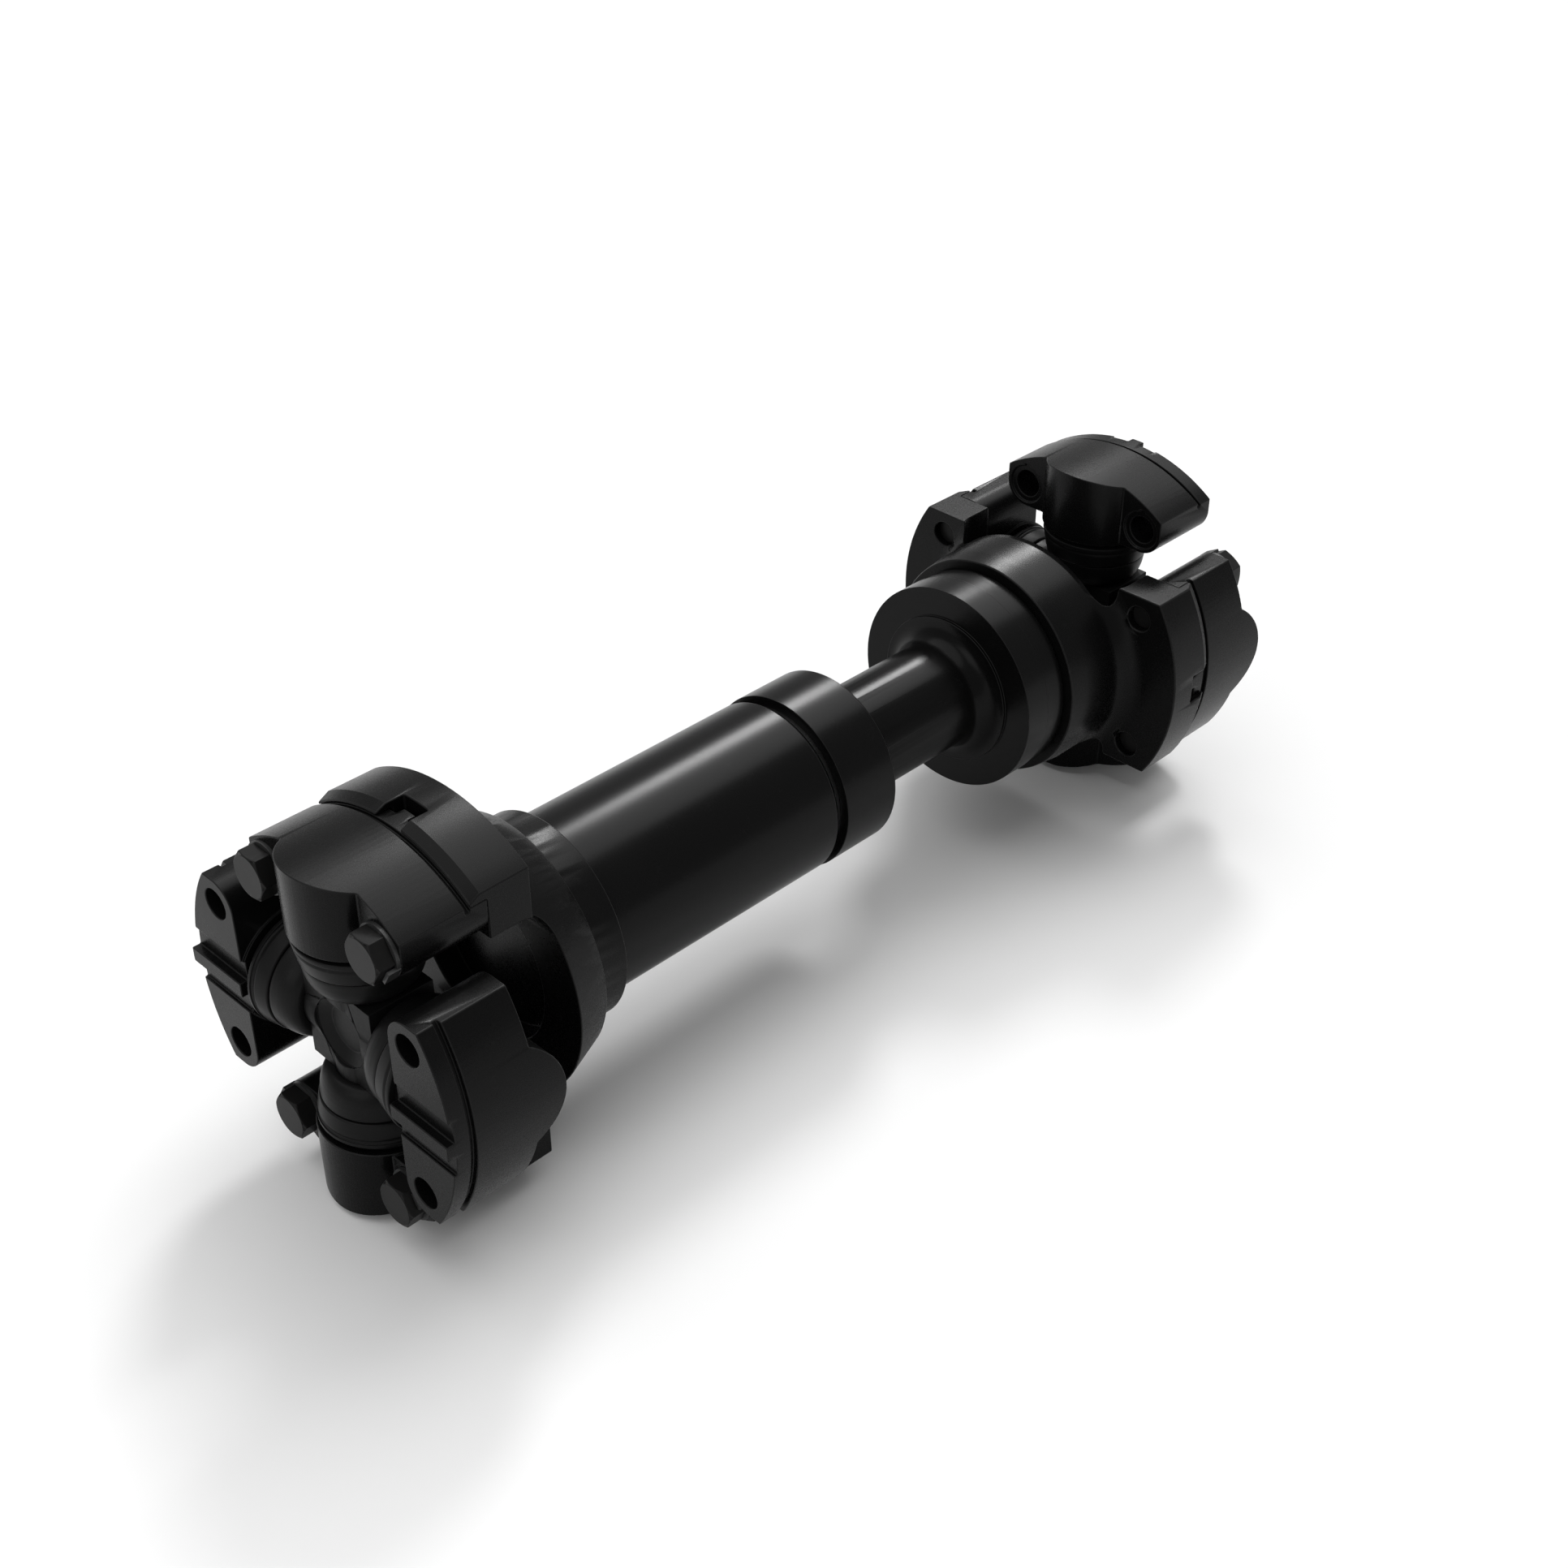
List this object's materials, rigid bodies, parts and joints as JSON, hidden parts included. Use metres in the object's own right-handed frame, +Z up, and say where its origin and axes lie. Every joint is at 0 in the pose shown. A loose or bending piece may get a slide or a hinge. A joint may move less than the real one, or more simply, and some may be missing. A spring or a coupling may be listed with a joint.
{
  "type": "universal joint shaft",
  "caption": "Telescopic cardan shaft: tube and splined slip stub with a bolt-on wing-block universal joint at each end, keyed and piloted mounting faces.",
  "frame": {"origin": "centre of the input bolt pattern, on the plane where the input bearing blocks bolt to their companion flange", "axes": "+X along the shaft from the input to the output joint, +Y to the left seen from the input, +Z up; the input joint's free blocks lie along Y, the output joint's along Z"},
  "size_m": [0.512, 0.1738, 0.1738],
  "materials": {
    "shaft_black": "satin black paint over forged steel",
    "tube_black": "satin black paint over drawn tube",
    "stub_black": "satin black over a turned surface",
    "cap_black": "satin black over a turned surface",
    "block_black": "satin black over machined faces",
    "cross_black": "blackened forging with ground journals",
    "guard_steel": "blackened pressed steel",
    "seal_case": "blackened pressed steel with a rubber lip",
    "bolt_black": "black oxide",
    "washer_steel": "dull zinc",
    "machined_steel": "oiled machined steel",
    "bearing_steel": "ground and polished",
    "thrust_bronze": "bronze",
    "rubber": "matt black"
  },
  "bodies": {
    "shaft": {"yoke_a": "shaft_black", "tube": "tube_black", "spline_sleeve": "machined_steel", "dust_cap": "cap_black", "cap_seal": "rubber", "bolts_a": "bolt_black", "tab_washers_a": "washer_steel", "yoke_block_a_top": "block_black", "rollers_a_top": "bearing_steel", "thrust_a_top": "thrust_bronze", "seal_a_top": "seal_case", "yoke_block_a_bottom": "block_black", "rollers_a_bottom": "bearing_steel", "thrust_a_bottom": "thrust_bronze", "seal_a_bottom": "seal_case"},
    "input_cross": {"cross_a": "cross_black", "guard_a_top": "guard_steel", "guard_a_bottom": "guard_steel", "guard_a_left": "guard_steel", "guard_a_right": "guard_steel"},
    "input_block_left": {"flange_block_a_left": "block_black", "rollers_a_left": "bearing_steel", "thrust_a_left": "thrust_bronze", "seal_a_left": "seal_case"},
    "input_block_right": {"flange_block_a_right": "block_black", "rollers_a_right": "bearing_steel", "thrust_a_right": "thrust_bronze", "seal_a_right": "seal_case"},
    "slip_end": {"slip_shaft": "stub_black", "yoke_b": "shaft_black", "bolts_b": "bolt_black", "tab_washers_b": "washer_steel", "yoke_block_b_left": "block_black", "rollers_b_left": "bearing_steel", "thrust_b_left": "thrust_bronze", "seal_b_left": "seal_case", "yoke_block_b_right": "block_black", "rollers_b_right": "bearing_steel", "thrust_b_right": "thrust_bronze", "seal_b_right": "seal_case"},
    "output_cross": {"cross_b": "cross_black", "guard_b_top": "guard_steel", "guard_b_bottom": "guard_steel", "guard_b_left": "guard_steel", "guard_b_right": "guard_steel"},
    "output_block_top": {"flange_block_b_top": "block_black", "rollers_b_top": "bearing_steel", "thrust_b_top": "thrust_bronze", "seal_b_top": "seal_case"},
    "output_block_bottom": {"flange_block_b_bottom": "block_black", "rollers_b_bottom": "bearing_steel", "thrust_b_bottom": "thrust_bronze", "seal_b_bottom": "seal_case"}
  },
  "joints": [
    {"name": "input_cross_swing", "type": "hinge", "parent": "shaft", "child": "input_cross", "pos_m": [0.0258, 0, 0], "axis": [0, 0, 1], "range_deg": [-18, 18]},
    {"name": "input_left_block_turn", "type": "hinge", "parent": "input_cross", "child": "input_block_left", "pos_m": [0.0258, 0, 0], "axis": [0, 1, 0], "range_deg": [-18, 18]},
    {"name": "input_right_block_turn", "type": "hinge", "parent": "input_cross", "child": "input_block_right", "pos_m": [0.0258, 0, 0], "axis": [0, 1, 0], "range_deg": [-18, 18]},
    {"name": "spline_slip", "type": "slide", "parent": "shaft", "child": "slip_end", "axis": [1, 0, 0], "range_m": [-0.025, 0.025]},
    {"name": "output_cross_swing", "type": "hinge", "parent": "slip_end", "child": "output_cross", "pos_m": [0.4812, 0, 0], "axis": [0, 1, 0], "range_deg": [-18, 18]},
    {"name": "output_top_block_turn", "type": "hinge", "parent": "output_cross", "child": "output_block_top", "pos_m": [0.4812, 0, 0], "axis": [0, 0, 1], "range_deg": [-18, 18]},
    {"name": "output_bottom_block_turn", "type": "hinge", "parent": "output_cross", "child": "output_block_bottom", "pos_m": [0.4812, 0, 0], "axis": [0, 0, 1], "range_deg": [-18, 18]}
  ]
}
